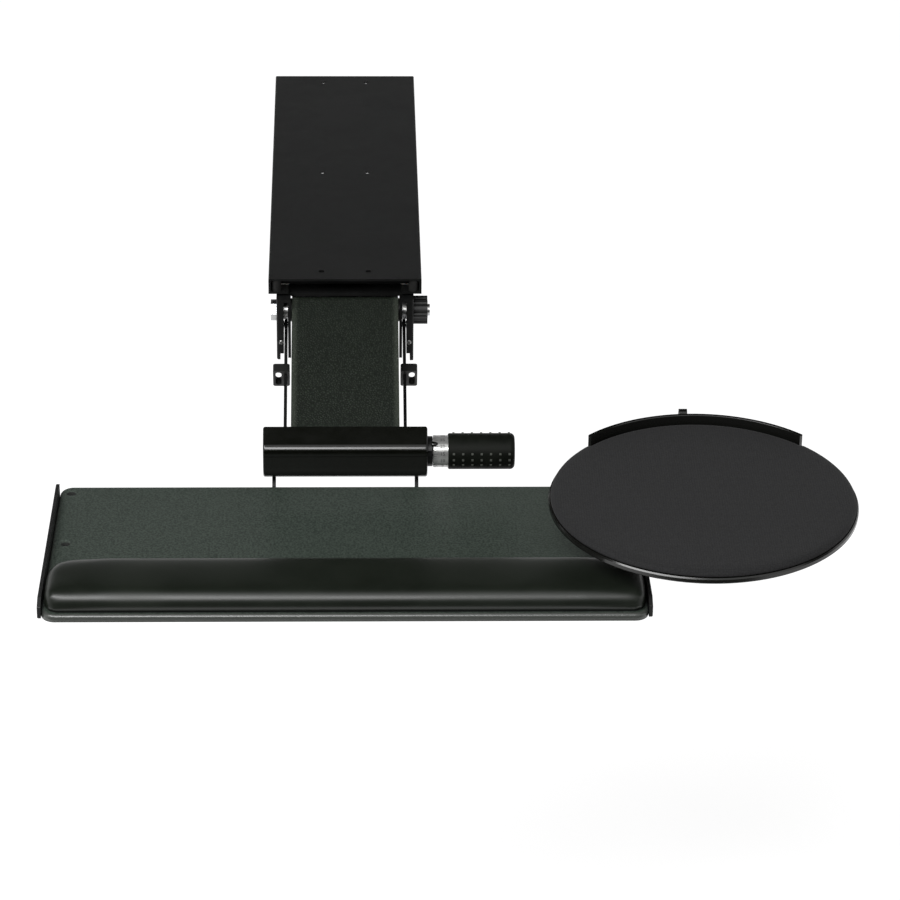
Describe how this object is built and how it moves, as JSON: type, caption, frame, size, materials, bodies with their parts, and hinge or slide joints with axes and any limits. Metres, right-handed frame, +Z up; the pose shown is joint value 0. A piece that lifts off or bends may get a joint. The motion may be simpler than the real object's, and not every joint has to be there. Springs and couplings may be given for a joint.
{
  "type": "keyboard tray",
  "caption": "Under-desk keyboard tray on a sliding track and lifting arm, with tilt dial, palm rest and a round swing-out mouse platform.",
  "frame": {"origin": "on the track's top face, above the swivel axis", "axes": "+Z up out of the track's top face, +Y back under the desk along the track, +X to the user's right"},
  "size_m": [0.6573, 0.7989, 0.1567],
  "materials": {
    "black_steel": "black powder-coated steel",
    "plated_steel": "zinc-plated steel",
    "black_plastic": "moulded black plastic",
    "white_nylon": "natural nylon",
    "grained_cover": "leather-grained moulding",
    "satin_hood": "satin black moulding",
    "pebbled_board": "pebbled laminate",
    "gel_cushion": "smooth leatherette over gel",
    "chrome_collar": "chrome plate",
    "rubber_grip": "soft black rubber",
    "mouse_fabric": "dark grey knit",
    "gloss_base": "gloss black moulding"
  },
  "bodies": {
    "rail": {"track": "black_steel", "track_stops": "rubber_grip"},
    "carriage": {"carriage_plate": "black_steel", "carriage_glides": "white_nylon", "swivel_bolt": "plated_steel", "swivel_spacer": "white_nylon", "swivel_washers": "plated_steel", "swivel_nut": "plated_steel"},
    "bracket": {"swivel_bracket": "black_steel", "bracket_rivets": "black_steel", "pivot_bolt": "plated_steel", "pivot_spacers": "black_steel", "brake_washers": "black_plastic", "tension_nut": "black_plastic", "upper_link_pins": "plated_steel"},
    "arm": {"arm_channel": "black_steel", "arm_cover": "grained_cover"},
    "left_strap": {"left_link": "black_steel", "left_clip": "black_plastic"},
    "right_strap": {"right_link": "black_steel", "right_clip": "black_plastic"},
    "head": {"head_frame": "black_steel", "head_cover": "satin_hood", "cover_screws": "plated_steel", "lower_link_pins": "plated_steel", "dial_ring": "black_plastic"},
    "nut": {"tilt_nut": "plated_steel"},
    "dial": {"dial_shaft": "plated_steel", "dial_collar": "chrome_collar", "dial_grip": "rubber_grip"},
    "tray": {"tilt_bracket": "black_steel", "tilt_barrel": "plated_steel", "shaft_bushes": "white_nylon", "tray_board": "pebbled_board", "board_screws": "plated_steel", "left_rail": "black_plastic", "right_rail": "black_plastic", "rail_screws": "black_steel", "palm_rest_base": "black_plastic", "palm_rest": "gel_cushion", "mouse_rail": "black_steel", "mouse_rail_screws": "plated_steel"},
    "carrier": {"mouse_carrier": "black_steel", "post_sleeve": "black_steel"},
    "slide_lock": {"slide_knob": "black_plastic"},
    "height_lock": {"height_knob": "black_plastic"},
    "post": {"mouse_post": "plated_steel"},
    "mouse_bar": {"mouse_arm": "black_steel", "hinge_pin": "plated_steel"},
    "platform": {"platform_bracket": "black_steel", "mouse_platform": "gloss_base", "mouse_pad": "mouse_fabric", "cord_clip": "gloss_base"}
  },
  "joints": [
    {"name": "track_slide", "type": "slide", "parent": "rail", "child": "carriage", "axis": [0, 1, 0], "range_m": [0, 0.29]},
    {"name": "arm_swivel", "type": "hinge", "parent": "carriage", "child": "bracket", "pos_m": [0, 0, -0.018], "axis": [0, 0, 1], "range_deg": [-90, 90]},
    {"name": "arm_lift", "type": "hinge", "parent": "bracket", "child": "arm", "pos_m": [0, -0.035, -0.0341], "axis": [1, 0, 0], "range_deg": [-33, 22]},
    {"name": "left_link_turn", "type": "hinge", "parent": "bracket", "child": "left_strap", "pos_m": [0, -0.027, -0.0521], "axis": [1, 0, 0], "range_deg": [-33, 22]},
    {"name": "right_link_turn", "type": "hinge", "parent": "bracket", "child": "right_strap", "pos_m": [0, -0.027, -0.0521], "axis": [1, 0, 0], "range_deg": [-33, 22]},
    {"name": "head_level", "type": "hinge", "parent": "arm", "child": "head", "pos_m": [0, -0.17095, -0.09749], "axis": [1, 0, 0], "range_deg": [-22, 33]},
    {"name": "tray_tilt", "type": "hinge", "parent": "head", "child": "tray", "pos_m": [0, -0.17095, -0.09749], "axis": [1, 0, 0], "range_deg": [-15, 15]},
    {"name": "dial_turn", "type": "hinge", "parent": "head", "child": "dial", "pos_m": [0, -0.17095, -0.09749], "axis": [1, 0, 0], "range_deg": [-150, 150]},
    {"name": "nut_travel", "type": "slide", "parent": "head", "child": "nut", "axis": [1, 0, 0], "range_m": [-0.005, 0.005]},
    {"name": "mouse_slide", "type": "slide", "parent": "tray", "child": "carrier", "axis": [0, 1, 0], "range_m": [-0.045, 0.045]},
    {"name": "slide_lock_turn", "type": "hinge", "parent": "carrier", "child": "slide_lock", "pos_m": [0.227, -0.24695, -0.155], "axis": [0, 0, 1], "range_deg": [-180, 180]},
    {"name": "height_lock_turn", "type": "hinge", "parent": "carrier", "child": "height_lock", "pos_m": [0.27, -0.22495, -0.12714], "axis": [1, 0, 0], "range_deg": [-180, 180]},
    {"name": "mouse_height", "type": "slide", "parent": "carrier", "child": "post", "axis": [0, 0, 1], "range_m": [-0.0045, 0.012]},
    {"name": "mouse_swing", "type": "hinge", "parent": "post", "child": "mouse_bar", "pos_m": [0.256, -0.22495, -0.11], "axis": [0, 0, 1], "range_deg": [-45, 60]},
    {"name": "mouse_tilt", "type": "hinge", "parent": "mouse_bar", "child": "platform", "pos_m": [0.2886, -0.28695, -0.09119], "axis": [1, 0, 0], "range_deg": [-8, 8]}
  ],
  "couplings": [
    {"joint": "left_link_turn", "follows": "arm_lift", "ratio": 1},
    {"joint": "right_link_turn", "follows": "arm_lift", "ratio": 1},
    {"joint": "head_level", "follows": "arm_lift", "ratio": -1},
    {"joint": "dial_turn", "follows": "tray_tilt", "ratio": 10},
    {"joint": "nut_travel", "follows": "tray_tilt", "m_per_rad": 0.019099}
  ]
}
